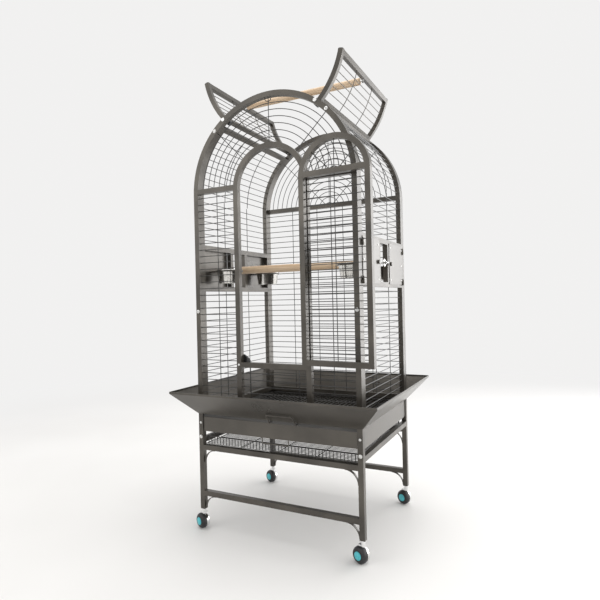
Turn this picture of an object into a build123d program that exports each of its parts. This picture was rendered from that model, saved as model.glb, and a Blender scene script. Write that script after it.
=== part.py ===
"""Play-top bird cage on a wheeled stand.

Millimetres, +Z up, front towards -Y, right towards +X. The origin is on the floor, under
the middle of the cage. The main door stands open against the front, and both top wings
stand open with the top perch between them.
"""

import os
from math import asin, cos, degrees, floor, hypot, radians, sin, sqrt

from build123d import *

os.makedirs("parts", exist_ok=True)

# ---- Driving dimensions -------------------------------------------------------------------

BODY_WIDTH = 700.0          # outer width of the cage body, across the posts
BODY_DEPTH = 580.0          # outer depth of the cage body
TUBE = 20.0                 # outer size of the square frame tube
WALL = 1.2                  # wall of every tube
SHEET = 1.2                 # thickness of every pressed sheet
WIRE = 3.0                  # diameter of the cage wire
WIRE_PITCH = 26.0           # spacing of the cage wires
WELD_STEP = 0.7 * WIRE      # crossing wires lie this far behind each other
HEAVY_WIRE = 5.0            # diameter of handles, rings and shelf borders
END_GAP = 0.1               # gap under the weld at the end of a wire or a bar
RUN_FIT = 0.05              # radial clearance of every hinge pin and axle
SLIDE_GAP = 1.0             # gap beside and under what slides or swings

LEG_BOTTOM = 82.0           # underside of the legs, above the casters
BASE_TOP = 467.0            # top of the stand, where the cage body stands
BASE_PLATE = 70.0           # height of the plates round the tray
LOWER_BAR_Z = 147.0         # middle of the lower stand bars
UPPER_BAR_Z = 332.0         # middle of the upper stand bars
SIDE_BAR_Z = 360.0          # middle of the side stand bars
BRACE_RADIUS = 52.0         # bent braces under the stand bars
SPRING_Z = 1350.0           # height where the posts turn into the arch

DOORWAY_HALF = 140.0        # half of the clear doorway width
SILL_TOP = 681.0            # top of the doorway sill
DOOR_GAP = 2.0              # gap between the main door and its frame
DOOR_OPEN = 176.0           # how far the main door stands open, in degrees
DOOR_HINGES = 4             # hinges on the main door
HINGE_FIRST_Z = 720.0       # height of the lowest door hinge
HINGE_STEP = 150.0          # spacing of the door hinges
HINGE_PIN = 5.0             # diameter of the door and feeder hinge pins

APRON_REACH = 81.0          # how far the seed apron stands out all round
APRON_RISE = 88.0           # height of its slope
APRON_LIP = 8.0             # upright lip along its edge

BAND_LOW = 960.0            # underside of the feeder band
BAND_HIGH = 1150.0          # top of the feeder band
DIVIDER_Y = 56.0            # middle of the uprights inside the feeder band
FEEDER_PLATE_LAP = 8.0      # how far a feeder plate laps the band bars
CUP_RADIUS = 52.0           # feeder cup, under its rim
CUP_HEIGHT = 57.0
CUP_RIM_Z = 1050.0
CUP_STAND_OFF = 75.0        # cup centre to feeder plate

WING_TUBE = 18.0            # tube of the top wings
WING_START = 52.5           # angle on the arch where a wing starts
WING_END = 88.0             # and where it ends
WING_PIVOT = 54.6           # angle of the wing's hinge pin
WING_PIVOT_RADIUS = 342.0
WING_OPEN = 100.4           # how far the wings stand open, in degrees
SHOULDER_END = 49.0         # angle of the rail that ends each side panel

PERCH_Z = 1056.0            # inner perch
PERCH_DIAMETER = 33.0
TOP_PERCH_Z = 1788.0
TOP_PERCH_DIAMETER = 28.0
TOP_PERCH_GAP = 13.0        # top perch end to wing rail, for lifting it off

WHEEL_RADIUS = 30.0
WHEEL_WIDTH = 20.0
CASTER_TRAIL = 10.0         # stem to axle, level
CASTER_TURN = 68.0          # how the casters happen to stand, in degrees

# ---- Derived places -----------------------------------------------------------------------

HX = BODY_WIDTH / 2
HY = BODY_DEPTH / 2
ARCH = HX - TUBE / 2                    # radius of the arch, tube middle
ARCH_IN = HX - TUBE                     # inside face of the arch and the posts
PANEL_Y = HY - TUBE / 2                 # middle of the front and rear panels
SIDE_Y = HY - 1.5 * TUBE                # middle of the side panels' own uprights
SIDE_IN = HY - 2 * TUBE                 # their inside face
RAIL_Z = BASE_TOP + TUBE / 2            # middle of the bottom rails
RAIL_TOP = BASE_TOP + TUBE
CROSS_Z = SPRING_Z + TUBE / 2           # middle of the crossbars at the arch
CROSS_TOP = SPRING_Z + TUBE
DOORWAY = DOORWAY_HALF + TUBE / 2       # doorway frame, tube middle
DOORWAY_OUT = DOORWAY_HALF + TUBE
CORNERS = {"front_left": (-1, -1), "front_right": (1, -1), "rear_left": (-1, 1), "rear_right": (1, 1)}
SIDES = {"left": -1, "right": 1}


# ---- Ways of making tube and wire -----------------------------------------------------------

def spaced(low, high, pitch):
    """Evenly spaced values strictly between two limits, centred."""
    count = floor((high - low) / pitch - 0.01)
    start = (low + high - (count - 1) * pitch) / 2
    return [start + pitch * i for i in range(count)]


def square_tube(start, end, size=TUBE, across=None):
    """Open-ended square tube between two points."""
    axis = Vector(*end) - Vector(*start)
    with BuildPart() as tube:
        with BuildSketch(Plane(origin=start, x_dir=across, z_dir=axis)):
            Rectangle(size, size)
            Rectangle(size - 2 * WALL, size - 2 * WALL, mode=Mode.SUBTRACT)
        extrude(amount=axis.length)
    return tube.part


def bent_tube(path, normal, size=TUBE):
    """Open-ended square tube bent along a flat path."""
    with BuildPart() as tube:
        with BuildSketch(Plane(origin=path @ 0, x_dir=normal, z_dir=path % 0)):
            Rectangle(size, size)
            Rectangle(size - 2 * WALL, size - 2 * WALL, mode=Mode.SUBTRACT)
        sweep(path=path)
    return tube.part


def arch_path(plane, half, low, spring):
    """Upright, half-round top, upright."""
    with BuildLine(plane) as line:
        Line((-half, low), (-half, spring))
        CenterArc((0, spring), half, 180, -180)
        Line((half, spring), (half, low))
    return line.wire()


def rod(start, end, diameter=WIRE):
    """Straight round bar between two points."""
    axis = Vector(*end) - Vector(*start)
    with BuildPart() as bar:
        with BuildSketch(Plane(origin=start, z_dir=axis)):
            Circle(diameter / 2)
        extrude(amount=axis.length)
    return bar.part


def bent_rod(points, diameter, bend):
    """Round bar through corner points, each corner bent to one radius."""
    with BuildPart() as bar:
        with BuildLine() as line:
            FilletPolyline(*points, radius=bend)
        with BuildSketch(Plane(origin=line.wire() @ 0, z_dir=line.wire() % 0)):
            Circle(diameter / 2)
        sweep(path=line.wire())
    return bar.part


def wire_grid(plane, x_limits, y_limits, columns, rows=None, diameter=WIRE):
    """Rows of wire along the plane's x, welded in front of a few upright wires."""
    rows = spaced(*y_limits, WIRE_PITCH) if rows is None else rows
    row_start = plane.from_local_coords((x_limits[0], 0, 0))
    column_start = plane.from_local_coords((0, y_limits[0], -WELD_STEP))
    with BuildPart() as grid:
        with BuildSketch(Plane(origin=row_start, x_dir=plane.y_dir, z_dir=plane.x_dir)):
            with Locations(*[(row, 0) for row in rows]):
                Circle(diameter / 2)
        extrude(amount=x_limits[1] - x_limits[0])
        with BuildSketch(Plane(origin=column_start, x_dir=plane.x_dir, z_dir=plane.y_dir)):
            with Locations(*[(column, 0) for column in columns]):
                Circle(diameter / 2)
        extrude(amount=y_limits[1] - y_limits[0])
    return grid.part


def sunburst(plane, radii, spokes, limits, reach, floor_height=0.0):
    """Rings of wire about the plane's origin, between two angles, welded to spokes."""
    with BuildPart() as burst:
        for radius in radii:
            lift = degrees(asin(floor_height / (radius - WIRE / 2)))
            low = max(limits[0], lift)
            high = min(limits[1], 180 - lift)
            start = Vector(cos(radians(low)), sin(radians(low)))
            across = plane.from_local_coords(start) - plane.origin
            with BuildSketch(Plane(origin=plane.origin, x_dir=across, z_dir=across.cross(plane.z_dir))):
                with Locations((radius, 0)):
                    Circle(WIRE / 2)
            revolve(axis=Axis(plane.origin, plane.z_dir), revolution_arc=high - low)
        for angle in spokes:
            along = Vector(cos(radians(angle)), sin(radians(angle)))
            edge = floor_height + WIRE / 2 * abs(cos(radians(angle)))
            foot = max(reach[0], edge / sin(radians(angle)))
            behind = plane.offset(-WELD_STEP)
            foot_point = behind.from_local_coords(along * foot)
            with BuildSketch(Plane(origin=foot_point, z_dir=foot_point - behind.origin)):
                Circle(WIRE / 2)
            extrude(amount=reach[1] - END_GAP - foot)
    return burst.part


def round_head(centre, axis, radius, height):
    """Low domed bolt head that sits on a face."""
    with BuildPart() as head:
        with BuildSketch(Plane(origin=centre, z_dir=axis)):
            Circle(radius)
        extrude(amount=height)
        fillet(head.faces().sort_by(Axis(centre, axis))[-1].edges(), height * 0.45)
    return head.part


def export(builder, node):
    """Label a finished piece and write it under its node's name."""
    builder.part.label = node
    export_step(builder.part, f"parts/{node}.step")


def upright_plane(y):
    """Plane facing the front at a depth, with x to the right and y up."""
    return Plane(origin=(0, y, 0), x_dir=(1, 0, 0), z_dir=(0, -1, 0))


# ---- Stand ----------------------------------------------------------------------------------

STEM_RADIUS = 5.5
STEM_SOCKET = 28.0          # depth of the plug that holds the caster stem

for name, (side, end) in CORNERS.items():
    leg_x = side * (HX - TUBE / 2)
    leg_y = end * PANEL_Y
    with BuildPart() as leg:
        add(square_tube((leg_x, leg_y, LEG_BOTTOM), (leg_x, leg_y, BASE_TOP)))
        with BuildSketch(Plane.XY.offset(LEG_BOTTOM)):
            with Locations((leg_x, leg_y)):
                Rectangle(TUBE - 2 * WALL, TUBE - 2 * WALL)
                Circle(STEM_RADIUS + RUN_FIT, mode=Mode.SUBTRACT)
        extrude(amount=STEM_SOCKET)
    export(leg, f"leg_{name}")

with BuildPart() as stand_crossbars:
    for end in (-1, 1):
        for bar_z in (LOWER_BAR_Z, UPPER_BAR_Z):
            add(square_tube((-ARCH_IN, end * PANEL_Y, bar_z), (ARCH_IN, end * PANEL_Y, bar_z)))
export(stand_crossbars, "stand_crossbars")

with BuildPart() as side_rails:
    for side in (-1, 1):
        rail_x = side * (HX - TUBE / 2)
        add(square_tube((rail_x, -(HY - TUBE), SIDE_BAR_Z), (rail_x, HY - TUBE, SIDE_BAR_Z)))
export(side_rails, "side_rails")

BRACE_STRIP = 3.0
BRACE_WIDTH = 10.0

with BuildPart() as corner_braces:
    for side in (-1, 1):
        for end in (-1, 1):
            for bar_z in (LOWER_BAR_Z, UPPER_BAR_Z):
                # a quarter turn between the leg's inside face and the bar's underside
                heel = (side * (ARCH_IN - BRACE_RADIUS), bar_z - TUBE / 2 - BRACE_RADIUS)
                with BuildSketch(upright_plane(end * PANEL_Y)):
                    with BuildLine():
                        CenterArc(heel, BRACE_RADIUS, 0 if side > 0 else 90, 90)
                        CenterArc(heel, BRACE_RADIUS - BRACE_STRIP, 0 if side > 0 else 90, 90)
                        for toe in ((side, 0), (0, 1)):
                            Line(
                                (heel[0] + toe[0] * BRACE_RADIUS, heel[1] + toe[1] * BRACE_RADIUS),
                                (
                                    heel[0] + toe[0] * (BRACE_RADIUS - BRACE_STRIP),
                                    heel[1] + toe[1] * (BRACE_RADIUS - BRACE_STRIP),
                                ),
                            )
                    make_face()
                extrude(amount=BRACE_WIDTH / 2, both=True)
export(corner_braces, "corner_braces")

# ---- Storage shelf --------------------------------------------------------------------------

SHELF_PITCH = 14.0
SHELF_LIP = 30.0
shelf_x = ARCH_IN - 4.0
shelf_y = HY - 0.7 * TUBE
shelf_z = UPPER_BAR_Z + TUBE / 2 + WELD_STEP + WIRE / 2
shelf_rim_z = shelf_z + SHELF_LIP

with BuildPart() as storage_shelf:
    floor_x = shelf_x - HEAVY_WIRE
    floor_y = shelf_y - HEAVY_WIRE
    add(
        wire_grid(
            Plane.XY.offset(shelf_z),
            (-floor_x, floor_x),
            (-floor_y, floor_y),
            [-floor_x / 2, 0, floor_x / 2],
            rows=spaced(-floor_y, floor_y, SHELF_PITCH),
        )
    )
    for end in (-1, 1):
        lip = upright_plane(end * (shelf_y - HEAVY_WIRE / 2))
        posts = spaced(-shelf_x, shelf_x, SHELF_PITCH)
        add(
            wire_grid(lip, (-shelf_x, shelf_x), (shelf_z, shelf_rim_z), posts, rows=[shelf_z, shelf_rim_z])
        )
    for side in (-1, 1):
        lip = Plane(origin=(side * (shelf_x - HEAVY_WIRE / 2), 0, 0), x_dir=(0, 1, 0), z_dir=(1, 0, 0))
        posts = spaced(-floor_y, floor_y, SHELF_PITCH)
        add(wire_grid(lip, (-floor_y, floor_y), (shelf_z, shelf_rim_z), posts, rows=[shelf_z, shelf_rim_z]))
export(storage_shelf, "storage_shelf")

# ---- Casters --------------------------------------------------------------------------------

AXLE_RADIUS = 4.0
HOOD_WALL = 1.5
HOOD_GAP = 1.0              # wheel to hood
HOOD_DEPTH = 19.0
HOOD_ROUND = 15.0           # round between its rim and its face
BRIDGE = 5.0                # plate that carries the hood under the stem
COLLAR_RADIUS = 8.0

for name, (side, end) in CORNERS.items():
    stem = Vector(side * (HX - TUBE / 2), end * PANEL_Y, 0)
    outward = Vector(-cos(radians(CASTER_TURN)), -sin(radians(CASTER_TURN)), 0)
    trail = Vector(-outward.Y, outward.X, 0) * -CASTER_TRAIL
    hub = stem + trail + Vector(0, 0, WHEEL_RADIUS)
    # local x runs out along the axle, local y straight up
    section = Plane(origin=hub, x_dir=outward, z_dir=outward.cross(Vector(0, 0, 1)))
    axle_axis = Axis(hub, outward)
    bridge_z = 2 * WHEEL_RADIUS + HOOD_GAP

    with BuildPart() as caster_mount:
        with BuildSketch(section):
            # a drum with a flat face and one large round, hollowed to an even wall
            with BuildLine():
                back = -HOOD_GAP - HOOD_DEPTH
                Polyline(
                    (-HOOD_GAP, WHEEL_RADIUS - HOOD_WALL),
                    (-HOOD_GAP, WHEEL_RADIUS),
                    (back + HOOD_ROUND, WHEEL_RADIUS),
                )
                CenterArc((back + HOOD_ROUND, WHEEL_RADIUS - HOOD_ROUND), HOOD_ROUND, 90, 90)
                Polyline(
                    (back, WHEEL_RADIUS - HOOD_ROUND),
                    (back, 0),
                    (back + HOOD_WALL, 0),
                    (back + HOOD_WALL, WHEEL_RADIUS - HOOD_ROUND),
                )
                CenterArc(
                    (back + HOOD_ROUND, WHEEL_RADIUS - HOOD_ROUND),
                    HOOD_ROUND - HOOD_WALL,
                    180,
                    -90,
                )
                Line((back + HOOD_ROUND, WHEEL_RADIUS - HOOD_WALL), (-HOOD_GAP, WHEEL_RADIUS - HOOD_WALL))
            make_face()
        revolve(axis=axle_axis)
        # cut the hood off near the floor
        with BuildSketch(Plane.XY):
            with Locations((hub.X, hub.Y)):
                Rectangle(4 * WHEEL_RADIUS, 4 * WHEEL_RADIUS)
        extrude(amount=WHEEL_RADIUS * 0.4, mode=Mode.SUBTRACT)
        axle_start = HOOD_GAP + HOOD_DEPTH - HOOD_WALL / 2
        with BuildSketch(Plane(origin=hub - outward * axle_start, z_dir=outward)):
            Circle(AXLE_RADIUS)
        extrude(amount=axle_start + WHEEL_WIDTH - 2)
        # web inside the hood, up to the bridge plate
        web_start = hub - outward * (HOOD_GAP + BRIDGE)
        with BuildSketch(Plane(origin=web_start, x_dir=Vector(0, 0, 1).cross(outward), z_dir=outward)):
            web_height = bridge_z - WHEEL_RADIUS
            with Locations((0, web_height / 2)):
                Rectangle(2 * COLLAR_RADIUS, web_height)
        extrude(amount=BRIDGE - HOOD_GAP)
        with BuildSketch(Plane(origin=stem + trail + Vector(0, 0, bridge_z), x_dir=outward)):
            with Locations((-4, 0)):
                Rectangle(2 * COLLAR_RADIUS + 8, 2 * COLLAR_RADIUS)
        extrude(amount=BRIDGE)
        with BuildSketch(Plane(origin=(stem.X, stem.Y, bridge_z))):
            Circle(COLLAR_RADIUS)
        extrude(amount=LEG_BOTTOM - bridge_z - SLIDE_GAP)
        with BuildSketch(Plane(origin=(stem.X, stem.Y, bridge_z))):
            Circle(STEM_RADIUS)
        extrude(amount=LEG_BOTTOM + STEM_SOCKET - bridge_z)
    export(caster_mount, f"caster_mount_{name}")

    with BuildPart() as caster_wheel:
        with BuildSketch(section):
            with BuildLine():
                tread = 0.35 * WHEEL_WIDTH
                shoulder = WHEEL_WIDTH - tread
                Polyline(
                    (WHEEL_WIDTH, WHEEL_RADIUS - shoulder),
                    (WHEEL_WIDTH, AXLE_RADIUS + RUN_FIT),
                    (0, AXLE_RADIUS + RUN_FIT),
                    (0, WHEEL_RADIUS),
                    (tread, WHEEL_RADIUS),
                )
                RadiusArc((tread, WHEEL_RADIUS), (WHEEL_WIDTH, WHEEL_RADIUS - shoulder), shoulder)
            make_face()
        revolve(axis=axle_axis)
    export(caster_wheel, f"caster_wheel_{name}")

# ---- Base: plates, runners, tray and grate --------------------------------------------------

PLATE_RECESS = 4.0          # plates stand back from the legs' outer faces
TRAY_DEPTH = 30.0
GRATE_SLOT = 12.0           # height of the slot over the tray front
RUNNER_LEG = 12.0
base_bottom = BASE_TOP - BASE_PLATE
plate_x = HX - PLATE_RECESS
plate_y = HY - PLATE_RECESS
runner_in = ARCH_IN - 18.0
tray_floor = base_bottom + 8.0
grate_z = BASE_TOP - GRATE_SLOT / 2

with BuildPart() as base_plates:
    with BuildSketch(Plane.XY.offset(base_bottom)):
        with Locations((-plate_x + SHEET / 2, 0), (plate_x - SHEET / 2, 0)):
            Rectangle(SHEET, 2 * (HY - TUBE))
        with Locations((0, plate_y - SHEET / 2)):
            Rectangle(2 * ARCH_IN, SHEET)
    extrude(amount=BASE_PLATE)
export(base_plates, "base_plates")

with BuildPart() as tray_runners:
    for side in (-1, 1):
        for ledge_z in (tray_floor - SLIDE_GAP, grate_z - WELD_STEP - WIRE / 2 - SLIDE_GAP):
            outer = side * (plate_x - SHEET)
            with BuildSketch(upright_plane(HY - TUBE)):
                with BuildLine():
                    Polyline(
                        (outer, ledge_z - RUNNER_LEG),
                        (outer, ledge_z),
                        (side * runner_in, ledge_z),
                        (side * runner_in, ledge_z - SHEET),
                        (outer - side * SHEET, ledge_z - SHEET),
                        (outer - side * SHEET, ledge_z - RUNNER_LEG),
                        close=True,
                    )
                make_face()
            extrude(amount=2 * (HY - TUBE))
export(tray_runners, "tray_runners")

tray_x = ARCH_IN - 2 * SLIDE_GAP
tray_back = HY - TUBE
front_y = -plate_y
HANDLE_HALF = 56.0          # half width of both pull handles
HANDLE_DROP = 21.0
HANDLE_WIRE = 4.0

with BuildPart() as tray:
    with BuildSketch(Plane.XY.offset(tray_floor)):
        with Locations((0, (tray_back + front_y + SHEET) / 2)):
            Rectangle(2 * tray_x, tray_back - front_y - SHEET)
    extrude(amount=TRAY_DEPTH)
    with BuildSketch(Plane.XY.offset(tray_floor + SHEET)):
        with Locations((0, (tray_back + front_y + SHEET) / 2)):
            Rectangle(2 * (tray_x - SHEET), tray_back - front_y - 3 * SHEET)
    extrude(amount=TRAY_DEPTH, mode=Mode.SUBTRACT)
    with BuildSketch(upright_plane(front_y + SHEET)):
        with Locations((0, (base_bottom + BASE_TOP - GRATE_SLOT) / 2)):
            Rectangle(2 * tray_x, BASE_PLATE - GRATE_SLOT)
    extrude(amount=SHEET)
    drop_y = front_y + SHEET + HANDLE_WIRE / 2
    add(
        bent_rod(
            (
                (-HANDLE_HALF, drop_y, tray_floor),
                (-HANDLE_HALF, drop_y, base_bottom - HANDLE_DROP),
                (HANDLE_HALF, drop_y, base_bottom - HANDLE_DROP),
                (HANDLE_HALF, drop_y, tray_floor),
            ),
            HANDLE_WIRE,
            6,
        )
    )
export(tray, "tray")

GRATE_PITCH = 20.0
GRATE_HANDLE_X = 40.0       # the grate's handle sits to the right of the middle
GRATE_HANDLE_RISE = 32.0

with BuildPart() as grate:
    grate_x = tray_x - HEAVY_WIRE / 2
    grate_front = front_y + SHEET
    grate_back = tray_back
    add(
        wire_grid(
            Plane(origin=(0, 0, grate_z), x_dir=(0, 1, 0), z_dir=(0, 0, 1)),
            (grate_front, grate_back),
            (-grate_x, grate_x),
            [grate_front + 90, 0, grate_back - 90],
            rows=spaced(-grate_x, grate_x, GRATE_PITCH),
        )
    )
    for edge in (grate_front + 12, grate_back - HEAVY_WIRE / 2):
        add(rod((-grate_x, edge, grate_z), (grate_x, edge, grate_z), HEAVY_WIRE))
    for side in (-1, 1):
        add(rod((side * grate_x, grate_front, grate_z), (side * grate_x, grate_back, grate_z), HEAVY_WIRE))
    with BuildSketch(upright_plane(grate_front)):
        with Locations((0, grate_z)):
            Rectangle(2 * tray_x, GRATE_SLOT - 2 * SLIDE_GAP)
    extrude(amount=SHEET)
export(grate, "grate")

with BuildPart() as grate_handle:
    slope = APRON_REACH / APRON_RISE
    grip_z = grate_z + GRATE_HANDLE_RISE
    elbow_y = front_y - 14
    grip_y = -(HY + SHEET + (grip_z - BASE_TOP) * slope + 2 * HANDLE_WIRE)
    for handle_side in (-1, 1):
        leg_x = GRATE_HANDLE_X + handle_side * HANDLE_HALF
        add(
            bent_rod(
                (
                    (leg_x, front_y, grate_z),
                    (leg_x, elbow_y, grate_z),
                    (leg_x, grip_y, grip_z),
                    (GRATE_HANDLE_X, grip_y, grip_z),
                ),
                HANDLE_WIRE,
                5,
            )
        )
export(grate_handle, "grate_handle")

# ---- Seed apron -----------------------------------------------------------------------------

APRON_GAP = 0.2             # apron flange to the posts


def apron_panel(half_width, half_depth, turn):
    """One folded side of the apron, mitred at both ends, turned about the upright axis."""
    foot = half_depth + APRON_GAP
    reach = APRON_REACH - APRON_GAP
    slope = reach / APRON_RISE
    level_wall = SHEET * hypot(1, slope)
    lip = BASE_TOP + APRON_RISE
    base = Plane.XY.rotated((0, 0, turn))
    length = half_width + APRON_REACH + 2 * SHEET
    profile = Plane(origin=base.from_local_coords((-length, 0, 0)), x_dir=-base.y_dir, z_dir=base.x_dir)
    # local x reaches outwards, local y hangs down
    outline = [
        (foot, RAIL_TOP),
        (foot, BASE_TOP),
        (foot + reach, lip),
        (foot + reach, lip + APRON_LIP),
        (foot + reach - SHEET, lip + APRON_LIP),
        (foot + reach - SHEET, lip + (level_wall - SHEET) / slope),
        (foot + SHEET, BASE_TOP + (SHEET + level_wall) / slope),
        (foot + SHEET, RAIL_TOP),
    ]
    with BuildPart() as panel:
        with BuildSketch(profile):
            with BuildLine():
                Polyline(*[(x, -y) for x, y in outline], close=True)
            make_face()
        extrude(amount=2 * length)
        for hand in (-1, 1):
            corner = base.from_local_coords((hand * (half_width + APRON_GAP), -foot, 0))
            across = (base.x_dir * hand + base.y_dir).normalized()
            split(bisect_by=Plane(origin=corner, z_dir=across), keep=Keep.BOTTOM)
    return panel.part


for name, half_width, half_depth, turn in (
    ("front", HX, HY, 0),
    ("right", HY, HX, 90),
    ("rear", HX, HY, 180),
    ("left", HY, HX, 270),
):
    with BuildPart() as apron:
        add(apron_panel(half_width, half_depth, turn))
    export(apron, f"apron_{name}")

# ---- Front and rear panels --------------------------------------------------------------------

PIVOT_PIN = 8.0             # diameter of the wing hinge bolts
pivot_x = WING_PIVOT_RADIUS * cos(radians(WING_PIVOT))
pivot_z = SPRING_Z + WING_PIVOT_RADIUS * sin(radians(WING_PIVOT))
RING_PITCH = 25.5           # spacing of the rings in the sunbursts
burst_spokes = (45, 90, 135)

for name, end in (("front", -1), ("rear", 1)):
    with BuildPart() as outer_arch:
        panel = upright_plane(end * PANEL_Y)
        add(bent_tube(arch_path(panel, ARCH, BASE_TOP, SPRING_Z), panel.z_dir))
        with BuildSketch(panel):
            with Locations((-pivot_x, pivot_z), (pivot_x, pivot_z)):
                Circle(PIVOT_PIN / 2 + RUN_FIT)
        extrude(amount=TUBE, both=True, mode=Mode.SUBTRACT)
    export(outer_arch, f"{name}_arch")

front_plane = upright_plane(-PANEL_Y)
rear_plane = upright_plane(PANEL_Y)
arch_edge = sqrt(ARCH_IN**2 - TUBE**2)        # inside of the arch at the crossbar's top
strip_middle = (ARCH_IN + DOORWAY_OUT) / 2

with BuildPart() as doorway_frame:
    add(bent_tube(arch_path(front_plane, DOORWAY, RAIL_TOP, SPRING_Z), front_plane.z_dir))
    add(
        square_tube(
            (-DOORWAY_HALF, -PANEL_Y, SILL_TOP - TUBE / 2),
            (DOORWAY_HALF, -PANEL_Y, SILL_TOP - TUBE / 2),
        )
    )
export(doorway_frame, "doorway_frame")

with BuildPart() as front_rails:
    add(square_tube((-ARCH_IN, -PANEL_Y, RAIL_Z), (ARCH_IN, -PANEL_Y, RAIL_Z)))
    for side in (-1, 1):
        add(
            square_tube(
                (side * DOORWAY_OUT, -PANEL_Y, CROSS_Z),
                (side * arch_edge, -PANEL_Y, CROSS_Z),
            )
        )
export(front_rails, "front_rails")

with BuildPart() as front_wires:
    for side in (-1, 1):
        strip = sorted((side * DOORWAY_OUT, side * ARCH_IN))
        add(wire_grid(front_plane, strip, (RAIL_TOP, SPRING_Z), [side * strip_middle]))
    add(
        wire_grid(
            front_plane,
            (-DOORWAY_HALF, DOORWAY_HALF),
            (RAIL_TOP, SILL_TOP - TUBE),
            [-DOORWAY_HALF * 0.75, DOORWAY_HALF * 0.75],
        )
    )
export(front_wires, "front_wires")

front_burst = Plane(origin=(0, -PANEL_Y, SPRING_Z), x_dir=(1, 0, 0), z_dir=(0, -1, 0))
rear_burst = Plane(origin=(0, PANEL_Y, SPRING_Z), x_dir=(1, 0, 0), z_dir=(0, -1, 0))
front_radii = spaced(DOORWAY_OUT, ARCH_IN, RING_PITCH)
burst_sectors = ((0, 67.3), (67.7, 112.3), (112.7, 180))

with BuildPart() as front_sunburst:
    for spoke, sector in zip(burst_spokes, burst_sectors):
        add(sunburst(front_burst, front_radii, [spoke], sector, (DOORWAY_OUT, ARCH_IN), TUBE))
export(front_sunburst, "front_sunburst")

with BuildPart() as rear_rails:
    add(square_tube((-ARCH_IN, PANEL_Y, RAIL_Z), (ARCH_IN, PANEL_Y, RAIL_Z)))
    add(square_tube((-arch_edge, PANEL_Y, CROSS_Z), (arch_edge, PANEL_Y, CROSS_Z)))
export(rear_rails, "rear_rails")

with BuildPart() as rear_wires:
    columns = [ARCH_IN * share for share in (-0.6, -0.2, 0.2, 0.6)]
    add(wire_grid(rear_plane, (-ARCH_IN, ARCH_IN), (RAIL_TOP, SPRING_Z), columns))
export(rear_wires, "rear_wires")

with BuildPart() as rear_sunburst:
    rear_radii = [RING_PITCH * i for i in range(1, floor(ARCH_IN / RING_PITCH + 0.5))]
    add(sunburst(rear_burst, rear_radii, burst_spokes, (0, 180), (TUBE, ARCH_IN), TUBE))
export(rear_sunburst, "rear_sunburst")

# ---- Side panels ------------------------------------------------------------------------------

side_columns = (-90.0, 90.0)
shoulder_low = SHOULDER_END - degrees((TUBE / 2 + 0.2) / ARCH)

for name, side in SIDES.items():
    panel_x = side * ARCH
    with BuildPart() as side_frame:
        for end in (-1, 1):
            with BuildLine(upright_plane(end * SIDE_Y)) as stile:
                Line((panel_x, BASE_TOP), (panel_x, SPRING_Z))
                turn = SHOULDER_END + degrees(TUBE / 2 / ARCH)
                CenterArc((0, SPRING_Z), ARCH, 0 if side > 0 else 180, side * turn)
            add(bent_tube(stile.wire(), (0, 1, 0)))
        rail_half = SIDE_IN - END_GAP
        for rail_z in (RAIL_Z, BAND_LOW + TUBE / 2, BAND_HIGH - TUBE / 2):
            add(square_tube((panel_x, -rail_half, rail_z), (panel_x, rail_half, rail_z)))
        for divider in (-DIVIDER_Y, DIVIDER_Y):
            foot = (panel_x, divider, BAND_LOW + TUBE + END_GAP)
            add(square_tube(foot, (panel_x, divider, BAND_HIGH - TUBE - END_GAP)))
        top = Vector(side * cos(radians(SHOULDER_END)), 0, sin(radians(SHOULDER_END)))
        end_rail = Vector(0, 0, SPRING_Z) + top * ARCH
        add(square_tube(end_rail - Vector(0, rail_half, 0), end_rail + Vector(0, rail_half, 0), across=top))
    export(side_frame, f"side_frame_{name}")

    with BuildPart() as side_wires:
        side_plane = Plane(origin=(panel_x, 0, 0), x_dir=(0, 1, 0), z_dir=(1, 0, 0))
        for low, high in ((RAIL_TOP, BAND_LOW), (BAND_HIGH, SPRING_Z)):
            add(wire_grid(side_plane, (-SIDE_IN, SIDE_IN), (low, high), side_columns))
        # the wires over the shoulder: along the cage, on two bent uprights
        first = degrees(WIRE / ARCH)
        for angle in spaced(first, shoulder_low, degrees(WIRE_PITCH / ARCH)):
            spot = Vector(side * ARCH * cos(radians(angle)), 0, SPRING_Z + ARCH * sin(radians(angle)))
            add(rod(spot - Vector(0, SIDE_IN, 0), spot + Vector(0, SIDE_IN, 0)))
        for column in side_columns:
            start = Vector(side * cos(radians(first)), 0, sin(radians(first)))
            turned = Plane(origin=(0, column, SPRING_Z), x_dir=start, z_dir=start.cross(Vector(0, 1, 0)))
            with BuildSketch(turned):
                with Locations((ARCH - WELD_STEP, 0)):
                    Circle(WIRE / 2)
            revolve(
                axis=Axis((0, column, SPRING_Z), (0, -side, 0)),
                revolution_arc=shoulder_low - first,
            )
    export(side_wires, f"side_wires_{name}")

# ---- Main door ----------------------------------------------------------------------------------

KNUCKLE_RADIUS = 4.5
KNUCKLE_LENGTH = 14.0
hinge_x = DOORWAY_HALF - DOOR_GAP / 2
hinge_y = -(HY + KNUCKLE_RADIUS)
door_half = DOORWAY_HALF - DOOR_GAP                # half of the door's outer width
door_bottom = SILL_TOP + DOOR_GAP
# local x runs from the hinge pin to the free edge, local y up, local z to the inside of the door
free = radians(180 + DOOR_OPEN)
door_x = Vector(cos(free), sin(free), 0)
door_in = Vector(sin(free), -cos(free), 0)
tube_depth = KNUCKLE_RADIUS + TUBE / 2             # pin to the middle of the door's tubes
door_plane = Plane(
    origin=Vector(hinge_x, hinge_y, 0) + door_x * hinge_x + door_in * tube_depth,
    x_dir=door_x,
    z_dir=door_x.cross(Vector(0, 0, 1)),
)
door_tube = door_half - TUBE / 2
door_in_half = door_half - TUBE
hinge_levels = [HINGE_FIRST_Z + HINGE_STEP * i for i in range(DOOR_HINGES)]

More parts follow.
